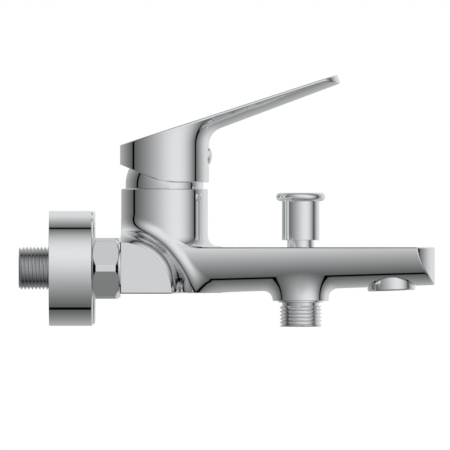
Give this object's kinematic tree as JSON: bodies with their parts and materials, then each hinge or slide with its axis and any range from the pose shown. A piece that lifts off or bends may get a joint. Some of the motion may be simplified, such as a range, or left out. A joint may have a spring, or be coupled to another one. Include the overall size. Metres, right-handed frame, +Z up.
{
  "type": "wall mounted bath faucet",
  "caption": "Chrome single-lever wall mounted bath faucet: quarter-round crossbar, D-section spout, pull-up diverter, threaded shower outlet, aerator.",
  "frame": {"origin": "wall plane, at the height of the inlets and mid-way between the two inlets", "axes": "+X out of the wall towards the spout's tip, +Y towards the right-hand inlet for someone who faces the wall, +Z up"},
  "size_m": [0.207, 0.2068, 0.1261],
  "materials": {
    "chrome": "polished chrome plate over brass and zinc",
    "brass": "machined",
    "rubber": "matt black elastomer",
    "steel": "bright stainless steel",
    "plug": "satin chrome",
    "ceramic": "lapped alumina ceramic",
    "white_plastic": "moulded, fine texture",
    "grey_plastic": "moulded, fine texture"
  },
  "bodies": {
    "body": {"faucet_body": "chrome", "wall_union_left": "chrome", "wall_union_right": "chrome", "escutcheon_left": "chrome", "escutcheon_right": "chrome", "grip_ring_left": "rubber", "grip_ring_right": "rubber", "inlet_tail_left": "chrome", "inlet_tail_right": "chrome", "tail_seal_left": "rubber", "tail_seal_right": "rubber", "union_washer_left": "rubber", "union_washer_right": "rubber", "strainer_left": "steel", "strainer_right": "steel", "cartridge_base": "white_plastic", "cartridge_port_seals": "rubber", "fixed_disc": "ceramic", "cartridge_housing": "grey_plastic", "retaining_nut": "brass", "dome_cover": "chrome", "dome_seal": "rubber", "diverter_spring": "steel", "diverter_gland": "chrome", "gland_seal": "rubber", "shower_nipple": "chrome", "nipple_seal": "rubber", "aerator_housing": "chrome", "aerator_insert": "grey_plastic", "aerator_screen": "steel", "aerator_washer": "rubber"},
    "nut_left": {"union_nut_left": "chrome"},
    "nut_right": {"union_nut_right": "chrome"},
    "rotor": {"cartridge_rotor": "white_plastic", "spindle_pin": "steel"},
    "lever": {"lever_spindle": "steel", "lever_handle": "chrome", "handle_screw": "steel", "index_plug": "plug"},
    "disc": {"moving_disc": "ceramic", "disc_carrier": "grey_plastic"},
    "diverter": {"diverter_knob": "chrome", "diverter_rod": "brass", "diverter_valve_disc": "brass", "diverter_washer_upper": "rubber", "diverter_washer_lower": "rubber"}
  },
  "joints": [
    {"name": "lever_turn", "type": "hinge", "parent": "body", "child": "rotor", "pos_m": [0.05685, 0, 0.0415], "axis": [0, 0, 1], "range_deg": [-50, 50]},
    {"name": "lever_lift", "type": "hinge", "parent": "rotor", "child": "lever", "pos_m": [0.05685, 0, 0.0415], "axis": [0, -1, 0], "range_deg": [0, 25]},
    {"name": "disc_slide", "type": "slide", "parent": "rotor", "child": "disc", "axis": [1, 0, 0], "range_m": [0, 0.0078]},
    {"name": "diverter_pull", "type": "slide", "parent": "body", "child": "diverter", "axis": [0, 0, 1], "range_m": [0, 0.007], "stiffness_N_per_m": 120, "springref_m": -0.006, "deforming": ["diverter_spring"]},
    {"name": "nut_left_turn", "type": "hinge", "parent": "body", "child": "nut_left", "pos_m": [0.028, -0.075, 0], "axis": [1, 0, 0], "continuous": true},
    {"name": "nut_right_turn", "type": "hinge", "parent": "body", "child": "nut_right", "pos_m": [0.028, 0.075, 0], "axis": [1, 0, 0], "continuous": true}
  ],
  "couplings": [
    {"joint": "disc_slide", "follows": "lever_lift", "m_per_rad": 0.01786}
  ]
}
